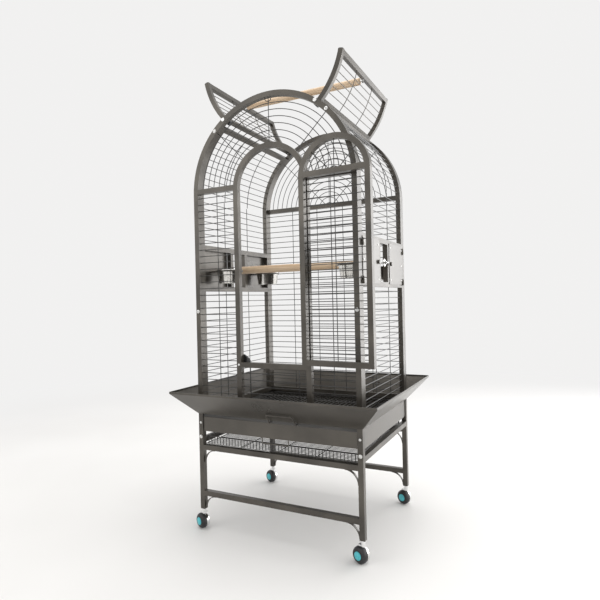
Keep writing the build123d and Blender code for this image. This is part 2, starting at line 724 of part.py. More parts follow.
with BuildPart() as main_door_frame:
    add(bent_tube(arch_path(door_plane, door_tube, door_bottom, SPRING_Z), door_plane.z_dir))
    for rail_z in (door_bottom + TUBE / 2, CROSS_Z):
        start = door_plane.from_local_coords((-door_in_half, rail_z, 0))
        end = door_plane.from_local_coords((door_in_half, rail_z, 0))
        add(square_tube(start, end, across=(0, 0, 1)))
    # hinge sleeves, each on a small leaf
    for level in hinge_levels:
        with BuildSketch(Plane(origin=(hinge_x, hinge_y, level), x_dir=door_x)):
            Circle(KNUCKLE_RADIUS)
            Circle(HINGE_PIN / 2 + RUN_FIT, mode=Mode.SUBTRACT)
        extrude(amount=KNUCKLE_LENGTH)
        leaf_at = Vector(hinge_x, hinge_y, level) + door_x * 7.5 + door_in * (KNUCKLE_RADIUS - 1)
        with BuildSketch(Plane(origin=leaf_at, x_dir=door_x)):
            Rectangle(9, 2)
        extrude(amount=KNUCKLE_LENGTH)
export(main_door_frame, "main_door_frame")

with BuildPart() as main_door_wires:
    add(wire_grid(door_plane, (-door_in_half, door_in_half), (door_bottom + TUBE, SPRING_Z), [0]))
    burst_middle = door_plane.from_local_coords((0, SPRING_Z, 0))
    door_burst = Plane(origin=burst_middle, x_dir=door_plane.x_dir, z_dir=door_plane.z_dir)
    door_radii = [RING_PITCH * i for i in range(1, floor(door_in_half / RING_PITCH + 0.6))]
    add(sunburst(door_burst, door_radii, burst_spokes, (0, 180), (TUBE, door_in_half), TUBE))
export(main_door_wires, "main_door_wires")

with BuildPart() as hinge_pins:
    for level in hinge_levels:
        base = level - KNUCKLE_LENGTH - 2 * RUN_FIT
        with BuildSketch(Plane(origin=(hinge_x, hinge_y, base))):
            Circle(KNUCKLE_RADIUS)
        extrude(amount=KNUCKLE_LENGTH)
        with BuildSketch(Plane(origin=(hinge_x, hinge_y, base))):
            Circle(HINGE_PIN / 2)
        extrude(amount=2 * KNUCKLE_LENGTH + 3)
        with BuildSketch(Plane(origin=(hinge_x + 8.5, -HY - 1, base))):
            Rectangle(11, 2)
        extrude(amount=KNUCKLE_LENGTH)
export(hinge_pins, "hinge_pins")

CATCH_THICK = 6.0
CATCH_SIZE = (50.0, 46.0)
catch_pivot = (-DOORWAY, SILL_TOP - TUBE / 2)
catch_y = -HY + TUBE + 0.5

with BuildPart() as door_catch:
    with BuildSketch(upright_plane(catch_y + CATCH_THICK)):
        with BuildLine():
            left = catch_pivot[0] - 6
            low = catch_pivot[1] - 6
            right = left + CATCH_SIZE[0]
            high = low + CATCH_SIZE[1]
            Polyline((right, low + 8), (right, low), (left, low), (left + 8, high), (left + 12, high))
            RadiusArc((left + 12, high), (right, low + 8), 60)
        make_face()
        with Locations(catch_pivot):
            Circle(HINGE_PIN / 2 + RUN_FIT, mode=Mode.SUBTRACT)
    extrude(amount=CATCH_THICK)
export(door_catch, "door_catch")

# ---- Top wings ----------------------------------------------------------------------------------

WING_CLEAR = 3.0            # wing to front and rear arches
wing_y = HY - TUBE - WING_CLEAR - WING_TUBE / 2
wing_in_y = wing_y - WING_TUBE / 2
hinge_rail = WING_START + degrees(WING_TUBE / 2 / ARCH)
free_rail = WING_END - degrees(WING_TUBE / 2 / ARCH)
swing = radians(WING_OPEN)
pivot_to_centre = Vector(-pivot_x, 0, SPRING_Z - pivot_z)
# the arch's centre, carried round by the open right wing
open_centre = Vector(
    pivot_x + cos(swing) * pivot_to_centre.X + sin(swing) * pivot_to_centre.Z,
    0,
    pivot_z - sin(swing) * pivot_to_centre.X + cos(swing) * pivot_to_centre.Z,
)


def wing_spot(side, angle, radius=ARCH):
    """Point on an open wing, from its angle and radius on the closed arch."""
    turned = radians(angle) - swing
    return Vector(
        side * (open_centre.X + radius * cos(turned)),
        0,
        open_centre.Z + radius * sin(turned),
    )


rail_spot = wing_spot(1, free_rail)
perch_end = rail_spot.X - WING_TUBE * 0.61 - TOP_PERCH_GAP

for name, side in SIDES.items():
    flip = Plane(
        origin=(side * open_centre.X, 0, open_centre.Z),
        x_dir=(side, 0, 0),
        z_dir=(0, -side, 0),
    )
    low = WING_START - WING_OPEN
    high = WING_END - WING_OPEN
    with BuildPart() as wing:
        for end in (-1, 1):
            with BuildLine(flip.offset(side * -end * wing_y)) as rail:
                CenterArc((0, 0), ARCH, low, high - low)
            add(bent_tube(rail.wire(), (0, 1, 0), WING_TUBE))
        with BuildSketch(upright_plane(0)):
            with Locations((side * pivot_x, pivot_z)):
                Circle(PIVOT_PIN / 2 + RUN_FIT)
        extrude(amount=HY, both=True, mode=Mode.SUBTRACT)
        for angle in (hinge_rail, free_rail):
            spot = wing_spot(side, angle)
            across = spot - Vector(side * open_centre.X, 0, open_centre.Z)
            clear = Vector(0, wing_in_y, 0)
            # the hinge rail starts past the pin's hole
            shift = (wing_spot(side, angle + 3.2) - spot) if angle == hinge_rail else Vector(0, 0, 0)
            add(square_tube(spot + shift - clear, spot + shift + clear, WING_TUBE, across=across))
        first = hinge_rail + 3.2 + degrees(WING_TUBE / 2 / ARCH)
        last = free_rail - degrees(WING_TUBE / 2 / ARCH)
        for angle in spaced(first, last, degrees(WIRE_PITCH / ARCH)):
            spot = wing_spot(side, angle)
            add(rod(spot - Vector(0, wing_in_y, 0), spot + Vector(0, wing_in_y, 0)))
        for column in side_columns:
            start = wing_spot(1, first) - open_centre
            start = Vector(side * start.X, 0, start.Z).normalized()
            centre = Vector(side * open_centre.X, column, open_centre.Z)
            with BuildSketch(Plane(origin=centre, x_dir=start, z_dir=start.cross(Vector(0, 1, 0)))):
                with Locations((ARCH - WELD_STEP, 0)):
                    Circle(WIRE / 2)
            revolve(axis=Axis(centre, (0, -side, 0)), revolution_arc=last - first)
    export(wing, f"wing_{name}")

HEAD_RADIUS = 7.5
HEAD_HEIGHT = 4.0

with BuildPart() as wing_pivots:
    for side in (-1, 1):
        for end in (-1, 1):
            outside = (side * pivot_x, end * HY, pivot_z)
            add(round_head(outside, (0, end, 0), HEAD_RADIUS, HEAD_HEIGHT))
            add(rod(outside, (side * pivot_x, end * (wing_in_y - 4), pivot_z), PIVOT_PIN))
export(wing_pivots, "wing_pivots")

# ---- Perches --------------------------------------------------------------------------------------

BOLT = 6.0
NOTCH = 8.0                 # open slot that drops over the bolt
NOTCH_DEPTH = 32.0
BOLT_GRIP = 14.0            # how far a bolt reaches into the notch

with BuildPart() as top_perch:
    add(rod((-perch_end, 0, TOP_PERCH_Z), (perch_end, 0, TOP_PERCH_Z), TOP_PERCH_DIAMETER))
    fillet(top_perch.edges().filter_by(GeomType.CIRCLE), 2)
    for side in (-1, 1):
        with BuildSketch(Plane.XY.offset(TOP_PERCH_Z - TOP_PERCH_DIAMETER)):
            with Locations((side * (perch_end - NOTCH_DEPTH / 2 + 1), 0)):
                Rectangle(NOTCH_DEPTH + 2, NOTCH)
        extrude(amount=TOP_PERCH_DIAMETER + NOTCH / 2, mode=Mode.SUBTRACT)
export(top_perch, "top_perch")

for name, side in SIDES.items():
    inner = side * (rail_spot.X - WING_TUBE * 0.62)
    with BuildPart() as perch_bolt:
        tip = side * (perch_end - BOLT_GRIP)
        add(rod((tip, 0, TOP_PERCH_Z), (inner - side * 0.2, 0, TOP_PERCH_Z), BOLT))
        add(round_head((inner, 0, TOP_PERCH_Z), (-side, 0, 0), 9, 3))
    export(perch_bolt, f"perch_bolt_{name}")

WASHER_RADIUS = 15.0
WASHER = 2.0

with BuildPart() as inner_perch:
    end_x = ARCH_IN - WASHER
    add(rod((-end_x, 0, PERCH_Z), (end_x, 0, PERCH_Z), PERCH_DIAMETER))
    fillet(inner_perch.edges().filter_by(GeomType.CIRCLE), 1.5)
export(inner_perch, "inner_perch")

WING_NUT = 14.0             # spread of a wing nut's ears

with BuildPart() as inner_perch_bolts:
    for side in (-1, 1):
        # washer inside, shank through between the band bars, washer and wing nut outside
        with BuildSketch(Plane(origin=(side * ARCH_IN, 0, PERCH_Z), z_dir=(-side, 0, 0))):
            Circle(WASHER_RADIUS)
        extrude(amount=WASHER)
        add(rod((side * ARCH_IN, 0, PERCH_Z), (side * (HX + 16), 0, PERCH_Z), BOLT))
        with BuildSketch(Plane(origin=(side * HX, 0, PERCH_Z), z_dir=(side, 0, 0))):
            Circle(WASHER_RADIUS)
        extrude(amount=WASHER)
        with BuildSketch(Plane(origin=(side * (HX + WASHER), 0, PERCH_Z), z_dir=(side, 0, 0))):
            Circle(BOLT)
        extrude(amount=8)
        with BuildSketch(Plane(origin=(side * (HX + WASHER), 0, PERCH_Z), z_dir=(side, 0, 0))):
            Rectangle(3, 2 * WING_NUT)
        extrude(amount=14)
export(inner_perch_bolts, "inner_perch_bolts")

# ---- Feeders --------------------------------------------------------------------------------------

FEEDER_HINGE_INSET = 6.0    # hinge pin back from the opening's edge
FEEDER_KNUCKLE = 4.0
FEEDER_LEVELS = (BAND_LOW + 22, BAND_HIGH - 22 - 12)
FEEDER_KNUCKLE_LENGTH = 12.0
RING_RADIUS = CUP_RADIUS + HEAVY_WIRE / 2 + SLIDE_GAP
feeder_pin_x = HX + FEEDER_KNUCKLE + 0.5
feeder_pin_y = SIDE_IN + FEEDER_HINGE_INSET
opening_near = SIDE_IN
opening_far = DIVIDER_Y + TUBE / 2
cup_y = (opening_near + opening_far) / 2
plate_in = HX + SLIDE_GAP
plate_edge = feeder_pin_y - FEEDER_KNUCKLE - 0.5
cup_x = plate_in - CUP_STAND_OFF
ring_z = CUP_RIM_Z - 4 - HEAVY_WIRE / 2 - 0.3

for name, (side, end) in CORNERS.items():
    with BuildPart() as feeder_door:
        # plate over the opening, lapping the band bars
        plate_low = BAND_LOW + TUBE / 2 + 2
        plate_high = BAND_HIGH - TUBE / 2 - 2
        with BuildSketch(Plane.XY.offset(plate_low)):
            with Locations((side * (plate_in + SHEET / 2), end * (plate_edge + opening_far) / 2)):
                Rectangle(SHEET, plate_edge - opening_far)
        extrude(amount=plate_high - plate_low)
        for level in FEEDER_LEVELS:
            with BuildSketch(Plane(origin=(side * feeder_pin_x, end * feeder_pin_y, level))):
                Circle(FEEDER_KNUCKLE)
                with Locations((side * (plate_in + SHEET / 2 - feeder_pin_x), -end * FEEDER_KNUCKLE)):
                    Rectangle(SHEET, FEEDER_KNUCKLE)
                Circle(HINGE_PIN / 2 + RUN_FIT, mode=Mode.SUBTRACT)
            extrude(amount=FEEDER_KNUCKLE_LENGTH)
        # two arms to a ring that holds the cup
        for arm in (-1, 1):
            arm_y = end * cup_y + arm * RING_RADIUS * 0.6
            arm_end = side * (cup_x + RING_RADIUS * 0.8)
            add(rod((side * (plate_in + 0.2), arm_y, ring_z), (arm_end, arm_y, ring_z), HEAVY_WIRE))
        with BuildSketch(upright_plane(end * cup_y)):
            with Locations((side * cup_x + RING_RADIUS, ring_z)):
                Circle(HEAVY_WIRE / 2)
        revolve(axis=Axis((side * cup_x, end * cup_y, ring_z), (0, 0, 1)))
        # turn button that holds the plate shut
        with BuildSketch(
            Plane(
                origin=(side * (plate_in + SHEET), end * (opening_far + 14), (BAND_LOW + BAND_HIGH) / 2),
                z_dir=(side, 0, 0),
            )
        ):
            Circle(8)
        extrude(amount=7)
    export(feeder_door, f"feeder_door_{name}")

    with BuildPart() as cup:
        cup_section = Plane(origin=(side * cup_x, end * cup_y, CUP_RIM_Z), x_dir=(1, 0, 0), z_dir=(0, -1, 0))
        with BuildSketch(cup_section):
            with BuildLine():
                foot = CUP_RADIUS * 0.86
                Polyline(
                    (0, -CUP_HEIGHT),
                    (foot, -CUP_HEIGHT),
                    (CUP_RADIUS, -4),
                    (CUP_RADIUS + 5, -4),
                    (CUP_RADIUS + 5, 0),
                    (CUP_RADIUS - SHEET, 0),
                    (foot - SHEET, SHEET - CUP_HEIGHT),
                    (0, SHEET - CUP_HEIGHT),
                    close=True,
                )
            make_face()
        revolve(axis=Axis((side * cup_x, end * cup_y, 0), (0, 0, 1)))
    export(cup, f"cup_{name}")

with BuildPart() as feeder_pins:
    for side, end in CORNERS.values():
        for level in FEEDER_LEVELS:
            base = level - FEEDER_KNUCKLE_LENGTH - 2 * RUN_FIT
            with BuildSketch(Plane(origin=(side * feeder_pin_x, end * feeder_pin_y, base))):
                Circle(FEEDER_KNUCKLE)
            extrude(amount=FEEDER_KNUCKLE_LENGTH)
            with BuildSketch(Plane(origin=(side * feeder_pin_x, end * feeder_pin_y, base))):
                Circle(HINGE_PIN / 2)
            extrude(amount=2 * FEEDER_KNUCKLE_LENGTH + 3)
            with BuildSketch(
                Plane(origin=(side * (HX + 1.5), end * (feeder_pin_y + FEEDER_KNUCKLE + 1), base))
            ):
                Rectangle(3, 10)
            extrude(amount=FEEDER_KNUCKLE_LENGTH)
export(feeder_pins, "feeder_pins")

# ---- Fasteners --------------------------------------------------------------------------------------

PANEL_BOLT_Z = 879.0
LEG_BOLT_Z = 374.0
BASE_SCREW_Z = 431.0
ARCH_BOLT_ANGLE = 45.0

with BuildPart() as panel_bolts:
    for side in (-1, 1):
        for end in (-1, 1):
            post_x = side * (HX - TUBE / 2)
            arch_bolt = radians(ARCH_BOLT_ANGLE)
            arch_x = side * ARCH * cos(arch_bolt)
            arch_z = SPRING_Z + ARCH * sin(arch_bolt)
            add(round_head((post_x, end * HY, PANEL_BOLT_Z), (0, end, 0), HEAD_RADIUS, HEAD_HEIGHT))
            add(round_head((arch_x, end * HY, arch_z), (0, end, 0), HEAD_RADIUS, HEAD_HEIGHT))
            add(round_head((post_x, end * HY, LEG_BOLT_Z), (0, end, 0), HEAD_RADIUS + 1, HEAD_HEIGHT))
            add(round_head((post_x, end * HY, BASE_SCREW_Z), (0, end, 0), HEAD_RADIUS - 3, HEAD_HEIGHT - 1))
    add(round_head((catch_pivot[0], -HY, catch_pivot[1]), (0, -1, 0), 5, 3))
    with BuildSketch(upright_plane(-HY + TUBE)):
        with Locations(catch_pivot):
            Circle(HINGE_PIN / 2)
    extrude(amount=-(CATCH_THICK + 2))
export(panel_bolts, "panel_bolts")
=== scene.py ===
"""Play-top bird cage on its wheeled stand: finishes, fittings, light and camera."""
from math import cos, floor, pi, radians, sin

import bmesh
import bpy
from mathutils import Matrix, Vector


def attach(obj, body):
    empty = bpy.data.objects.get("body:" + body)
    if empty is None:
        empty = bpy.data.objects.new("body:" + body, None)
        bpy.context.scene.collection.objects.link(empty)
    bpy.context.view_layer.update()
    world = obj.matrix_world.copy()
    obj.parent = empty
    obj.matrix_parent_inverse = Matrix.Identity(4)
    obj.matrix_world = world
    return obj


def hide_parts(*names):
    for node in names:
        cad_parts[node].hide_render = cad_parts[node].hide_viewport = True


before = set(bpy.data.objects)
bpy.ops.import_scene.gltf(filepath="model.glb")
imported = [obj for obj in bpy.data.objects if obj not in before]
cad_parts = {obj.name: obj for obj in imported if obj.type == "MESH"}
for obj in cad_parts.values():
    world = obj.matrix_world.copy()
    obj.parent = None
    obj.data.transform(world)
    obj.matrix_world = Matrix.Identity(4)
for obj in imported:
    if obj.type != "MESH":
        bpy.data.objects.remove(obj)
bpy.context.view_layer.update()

# ---- Camera and studio ----------------------------------------------------------------------
# The cage stands on a plain pale studio floor in soft light. Two large soft sources on its right
# brighten the faces turned that way, one hangs overhead, and a weak one fills from the front left.

EYE = Vector((0.9489, -1.9302, 0.9191))
YAW, PITCH, ROLL = radians(-26.78), radians(-0.07), radians(-1.30)

ahead = Vector((sin(YAW) * cos(PITCH), cos(YAW) * cos(PITCH), sin(PITCH)))
level = Vector((cos(YAW), -sin(YAW), 0.0))
upward = level.cross(ahead)
right = level * cos(ROLL) + upward * sin(ROLL)
top = upward * cos(ROLL) - level * sin(ROLL)
turned = Matrix((right, top, -ahead)).transposed().to_4x4()
camera = bpy.data.objects.new("camera", bpy.data.cameras.new("camera"))
camera.matrix_world = Matrix.Translation(EYE) @ turned
camera.data.lens = 30.35
camera.data.sensor_width = 36.0
bpy.context.scene.collection.objects.link(camera)
bpy.context.scene.camera = camera


def soft_light(name, place, aim, size, power, colour):
    """A square soft box that faces a point."""
    lamp = bpy.data.lights.new(name, "AREA")
    lamp.shape = "SQUARE"
    lamp.size = size
    lamp.energy = power
    lamp.color = colour
    box = bpy.data.objects.new(name, lamp)
    turn = (Vector(aim) - Vector(place)).to_track_quat("-Z", "Y")
    box.matrix_world = Matrix.Translation(place) @ turn.to_matrix().to_4x4()
    box.visible_camera = False
    bpy.context.scene.collection.objects.link(box)


soft_light("window", (4.0, 0.2, 1.9), (0.0, 0.0, 1.0), 2.8, 66.0, (1.0, 0.99, 0.97))
soft_light("rear_window", (2.5, 3.0, 1.2), (0.2, 0.0, 0.9), 2.8, 78.0, (0.99, 0.99, 1.0))
soft_light("fill", (-2.6, -3.4, 2.4), (0.0, 0.0, 0.9), 2.2, 22.0, (1.0, 0.985, 0.96))
soft_light("overhead", (0.2, 0.2, 4.4), (0.0, 0.0, 0.0), 3.0, 70.0, (1.0, 0.995, 0.99))

STUDIO_PALE = (0.93, 0.925, 0.92, 1.0)
STUDIO_GLOW = 0.95
world = bpy.data.worlds.new("studio")
bpy.context.scene.world = world
world.use_nodes = True
backdrop = world.node_tree.nodes["Background"]
backdrop.inputs["Color"].default_value = STUDIO_PALE
backdrop.inputs["Strength"].default_value = STUDIO_GLOW
bpy.context.scene.view_settings.view_transform = "Standard"


class Amount:
    """One value inside a finish, so that sums can be written as they are."""

    def __init__(self, tree, socket):
        self.tree = tree
        self.socket = socket

    def reckon(self, operation, first, second):
        node = self.tree.nodes.new("ShaderNodeMath")
        node.operation = operation
        for slot, value in zip(node.inputs, (first, second)):
            if isinstance(value, Amount):
                self.tree.links.new(value.socket, slot)
            else:
                slot.default_value = value
        return Amount(self.tree, node.outputs[0])

    def __add__(self, other):
        return self.reckon("ADD", self, other)

    def __mul__(self, other):
        return self.reckon("MULTIPLY", self, other)

    __radd__ = __add__
    __rmul__ = __mul__


class Finish:
    """A material being mixed: add() puts a node in, and coat() joins values to the surface."""

    def __init__(self, name, **plain):
        self.material = bpy.data.materials.new(name)
        self.material.use_nodes = True
        self.tree = self.material.node_tree
        self.surface = self.tree.nodes["Principled BSDF"]
        for socket, value in plain.items():
            self.surface.inputs[socket.replace("_", " ")].default_value = value
        self.place = self.add("ShaderNodeTexCoord", {}, {}, "Object")

    def add(self, kind, settings, values, output=0):
        node = self.tree.nodes.new(kind)
        for name, setting in settings.items():
            if name == "stops":
                ends = node.color_ramp.elements
                ends[0].position, ends[1].position = setting[0][0], setting[-1][0]
                ends[0].color, ends[1].color = (*setting[0][1], 1.0), (*setting[-1][1], 1.0)
                for position, colour in setting[1:-1]:
                    ends.new(position).color = (*colour, 1.0)
            else:
                setattr(node, name, setting)
        for name, value in values.items():
            if isinstance(value, Amount):
                self.tree.links.new(value.socket, node.inputs[name])
            else:
                node.inputs[name].default_value = value
        return Amount(self.tree, node.outputs[output])

    def noise(self, scale, detail=3.0, stretch=(1.0, 1.0, 1.0), centre=(0.0, 0.0, 0.0)):
        spread = {"Vector": self.place, "Scale": stretch, "Location": centre}
        where = self.add("ShaderNodeMapping", {}, spread)
        return self.add("ShaderNodeTexNoise", {}, {"Vector": where, "Scale": scale, "Detail": detail})

    def shade(self, amount, *stops):
        return self.add("ShaderNodeValToRGB", {"stops": stops}, {"Fac": amount})

    def bump(self, height, depth, strength=1.0):
        relief = {"Height": height, "Distance": depth, "Strength": strength}
        return self.add("ShaderNodeBump", {}, relief)

    def blend(self, share, under, over):
        """Lays one colour over another by a share."""
        layers = {0: share, 6: under, 7: (*over, 1.0)}
        return self.add("ShaderNodeMix", {"data_type": "RGBA"}, layers, 2)

    def coat(self, **values):
        for socket, value in values.items():
            self.tree.links.new(value.socket, self.surface.inputs[socket.replace("_", " ")])
        return self.material


def paint(material, *nodes):
    """Gives CAD nodes one finish."""
    for name in nodes:
        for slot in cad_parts[name].material_slots:
            slot.material = material


floor_finish = Finish("studio_floor", Roughness=0.55)
tone = floor_finish.noise(1.2, 2.0)
floor_coat = floor_finish.coat(
    Base_Color=floor_finish.shade(tone, (0.3, (0.76, 0.752, 0.738)), (0.7, (0.80, 0.793, 0.78))),
    Normal=floor_finish.bump(floor_finish.noise(60.0), 0.0002, 0.3),
)
# the floor fades into the pale room behind it
away = floor_finish.add("ShaderNodeVectorMath", {"operation": "LENGTH"}, {0: floor_finish.place}, 1)
fade = floor_finish.add(
    "ShaderNodeMapRange",
    {"interpolation_type": "SMOOTHERSTEP"},
    {"Value": away, "From Min": 1.4, "From Max": 4.5},
)
glow = floor_finish.add("ShaderNodeEmission", {}, {"Color": STUDIO_PALE, "Strength": STUDIO_GLOW})
surface = Amount(floor_finish.tree, floor_finish.surface.outputs[0])
blended = floor_finish.add("ShaderNodeMixShader", {}, {0: fade, 1: surface, 2: glow})
floor_finish.tree.links.new(blended.socket, floor_finish.tree.nodes["Material Output"].inputs["Surface"])
ground = bmesh.new()
bmesh.ops.create_circle(ground, cap_ends=True, segments=64, radius=30.0)
floor_mesh = bpy.data.meshes.new("studio_floor")
ground.to_mesh(floor_mesh)
ground.free()
floor_mesh.materials.append(floor_coat)
studio_floor = bpy.data.objects.new("studio_floor", floor_mesh)
bpy.context.scene.collection.objects.link(studio_floor)

# ---- Powder-coated steel ----------------------------------------------------------------------
# Square tube and sheet steel, welded and powder-coated in a dark pewter that carries a little
# metal flake. The coat is slightly orange-peeled, and it dulls in patches where it is handled.

PEWTER_DARK = (0.052, 0.046, 0.038)
PEWTER_LIGHT = (0.092, 0.082, 0.068)
FLAKE = (0.22, 0.205, 0.18)


def powder_coat(name, dark, light, gloss):
    """Flaked pewter powder coat, from two close tones."""
    coat = Finish(name, Metallic=0.45, Coat_Weight=0.25, Coat_Roughness=0.22)
    tone = coat.shade(coat.noise(9.0, 4.0), (0.35, dark), (0.68, light))
    flake = coat.add("ShaderNodeTexVoronoi", {}, {"Vector": coat.place, "Scale": 1600.0}, "Distance")
    fleck = coat.shade(flake, (0.10, (1.0, 1.0, 1.0)), (0.22, (0.0, 0.0, 0.0)))
    flecked = coat.blend(fleck * 0.35, tone, FLAKE)
    peel = coat.noise(720.0, 2.0)
    waves = coat.noise(160.0, 2.0)
    return coat.coat(
        Base_Color=flecked,
        Roughness=coat.noise(14.0, 5.0) * 0.22 + gloss,
        Normal=coat.bump(peel * 0.7 + waves, 0.00022, 0.35),
    )


# each corner of the cage, with its side (right is 1) and its end (rear is 1)
CORNERS = (("front_left", -1, -1), ("front_right", 1, -1), ("rear_left", -1, 1), ("rear_right", 1, 1))

tube_coat = powder_coat("pewter_powder_coat", PEWTER_DARK, PEWTER_LIGHT, 0.24)
paint(
    tube_coat,
    *[f"leg_{corner}" for corner, side, end in CORNERS],
    "stand_crossbars", "side_rails", "corner_braces",
    "front_arch", "rear_arch", "doorway_frame", "front_rails", "rear_rails",
    "side_frame_left", "side_frame_right", "main_door_frame", "hinge_pins", "feeder_pins",
    "wing_left", "wing_right", "grate_handle",
)

# ---- Sheet steel: apron, base, tray -----------------------------------------------------------
# Folded sheet with the same powder coat over wider, flatter faces. It keeps faint draw lines
# along the sheet, and seed dust dulls it unevenly. The aprons flare out and up from the base.

sheet = Finish("sheet_powder_coat", Metallic=0.5, Coat_Weight=0.3, Coat_Roughness=0.2)
patches = sheet.noise(5.0, 5.0)
sheet_tone = sheet.shade(patches, (0.32, (0.056, 0.050, 0.042)), (0.70, (0.098, 0.088, 0.074)))
dust = sheet.shade(sheet.noise(420.0, 3.0), (0.62, (0.0, 0.0, 0.0)), (0.74, (1.0, 1.0, 1.0)))
dusted = sheet.blend(dust * 0.18, sheet_tone, (0.25, 0.23, 0.20))
draw_lines = sheet.noise(30.0, 2.0, stretch=(1.0, 1.0, 26.0))
sheet_coat = sheet.coat(
    Base_Color=dusted,
    Roughness=patches * 0.2 + 0.2,
    Normal=sheet.bump(sheet.noise(600.0, 2.0) + draw_lines * 0.5, 0.0002, 0.25),
)
paint(
    sheet_coat,
    "apron_front", "apron_right", "apron_rear", "apron_left",
    "base_plates", "tray", "tray_runners",
    *[f"feeder_door_{corner}" for corner, side, end in CORNERS],
)

# ---- Wires --------------------------------------------------------------------------------------
# Round wire, welded into panels and coated with the frame, with a small bead where a cross wire
# meets a tube. The wires get a darker copy of the frame's coat as painted shade, and the birds rub it
# smooth.

# painted shade: the wires and their weld beads use a darker copy of the frame's pewter coat
shaded_wire_coat = powder_coat("wire_powder_coat_painted_shade", (0.030, 0.029, 0.028), (0.058, 0.056, 0.053), 0.20)
paint(
    shaded_wire_coat,
    "front_wires", "front_sunburst", "rear_wires", "rear_sunburst", "side_wires_left",
    "side_wires_right", "main_door_wires", "storage_shelf", "grate",
)

BODY_X, BODY_Y = 0.330, 0.280
SIDE_X, SIDE_Y = 0.340, 0.250
RAIL_TOP, SPRING = 0.487, 1.350
DOORWAY_OUT, DOORWAY_IN, SILL = 0.160, 0.140, 0.661
FEEDER_LOW, FEEDER_HIGH = 0.960, 1.150
WIRE_PITCH = 0.026


def spaced(low, high, pitch=WIRE_PITCH):
    """Even places strictly between two limits, centred."""
    count = floor((high - low) / pitch - 0.01)
    start = (low + high - (count - 1) * pitch) / 2
    return [start + pitch * i for i in range(count)]


def spots_mesh(name, spots, outs):
    """Loose points, each with the direction that its fitting faces."""
    mesh = bpy.data.meshes.new(name)
    mesh.from_pydata(spots, [], [])
    faces_out = mesh.attributes.new("out", "FLOAT_VECTOR", "POINT")
    faces_out.data.foreach_set("vector", [value for out in outs for value in out])
    return mesh


def set_out(name, tree, spots, outs, body, slot, **inputs):
    """Runs a fitting tree over its points and returns the plain mesh, riding on one body."""
    holder = bpy.data.objects.new(name, spots_mesh(name, spots, outs))
    bpy.context.scene.collection.objects.link(holder)
    nodes = holder.modifiers.new("fittings", "NODES")
    nodes.node_group = tree
    for item in tree.interface.items_tree:
        if item.in_out == "INPUT" and item.name in inputs:
            nodes[item.identifier] = inputs[item.name]
    graph = bpy.context.evaluated_depsgraph_get()
    made = bpy.data.meshes.new_from_object(holder.evaluated_get(graph))
    holder.modifiers.remove(nodes)
    holder.data = made
    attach(holder, body)
    return holder


def fitting_tree(name, sockets):
    """An empty tree that takes points and returns a mesh, with named inputs."""
    tree = bpy.data.node_groups.new(name, "GeometryNodeTree")
    tree.interface.new_socket("Geometry", in_out="INPUT", socket_type="NodeSocketGeometry")
    for label, kind in sockets:
        tree.interface.new_socket(label, in_out="INPUT", socket_type=kind)
    tree.interface.new_socket("Geometry", in_out="OUTPUT", socket_type="NodeSocketGeometry")
    return tree, tree.nodes.new("NodeGroupInput"), tree.nodes.new("NodeGroupOutput")


def chain(tree, *joins):
    """Joins outputs to inputs in pairs."""
    for source, target in joins:
        tree.links.new(source, target)


weld_tree, given, result = fitting_tree(
    "weld_beads", (("Bead radius", "NodeSocketFloat"), ("Finish", "NodeSocketMaterial"))
)
bead = weld_tree.nodes.new("GeometryNodeMeshIcoSphere")
uneven = weld_tree.nodes.new("FunctionNodeRandomValue")
uneven.data_type = "FLOAT_VECTOR"
uneven.inputs[0].default_value = (0.8, 0.8, 0.7)
uneven.inputs[1].default_value = (1.2, 1.2, 1.1)
uneven.inputs["Seed"].default_value = 7
place_beads = weld_tree.nodes.new("GeometryNodeInstanceOnPoints")
solid_beads = weld_tree.nodes.new("GeometryNodeRealizeInstances")
coated = weld_tree.nodes.new("GeometryNodeSetMaterial")
chain(
    weld_tree,
    (given.outputs["Geometry"], place_beads.inputs["Points"]),
    (given.outputs["Bead radius"], bead.inputs["Radius"]),
    (bead.outputs["Mesh"], place_beads.inputs["Instance"]),
    (uneven.outputs[0], place_beads.inputs["Scale"]),
    (place_beads.outputs["Instances"], solid_beads.inputs["Geometry"]),
    (solid_beads.outputs["Geometry"], coated.inputs["Geometry"]),
    (given.outputs["Finish"], coated.inputs["Material"]),
    (coated.outputs["Geometry"], result.inputs["Geometry"]),
)

weld_spots = []
for row in spaced(RAIL_TOP, SPRING):
    for side in (-1, 1):
        weld_spots.append((side * BODY_X, BODY_Y, row))
        weld_spots.append((side * BODY_X, -BODY_Y, row))
        weld_spots.append((side * DOORWAY_OUT, -BODY_Y, row))
for row in spaced(RAIL_TOP, SILL):
    for side in (-1, 1):
        weld_spots.append((side * DOORWAY_IN, -BODY_Y, row))
for low, high in ((RAIL_TOP, FEEDER_LOW), (FEEDER_HIGH, SPRING)):
    for row in spaced(low, high):
        for side in (-1, 1):
            for end in (-1, 1):
                weld_spots.append((side * SIDE_X, end * SIDE_Y, row))
set_out(
    "wire_welds",
    weld_tree,
    weld_spots,
    [(0.0, 0.0, 1.0)] * len(weld_spots),
    "cage",
    "powder_coat",
    **{"Bead radius": 0.0023, "Finish": shaded_wire_coat},
)

# ---- Screws and bolts -----------------------------------------------------------------------------
# Zinc-plated button-head screws with hexagon sockets hold the panels, legs and base plates
# together. They are bright, with faint turning marks.

zinc = Finish("zinc_plate", Metallic=1.0)
zinc_tone = zinc.noise(240.0, 3.0)
zinc_plate = zinc.coat(
    Base_Color=zinc.shade(zinc_tone, (0.3, (0.60, 0.60, 0.585)), (0.7, (0.80, 0.80, 0.79))),
    Roughness=zinc.noise(90.0, 4.0) * 0.25 + 0.16,
    Normal=zinc.bump(zinc.noise(1500.0, 2.0), 0.00008, 0.3),
)
paint(zinc_plate, "wing_pivots", "perch_bolt_left", "perch_bolt_right", "inner_perch_bolts")


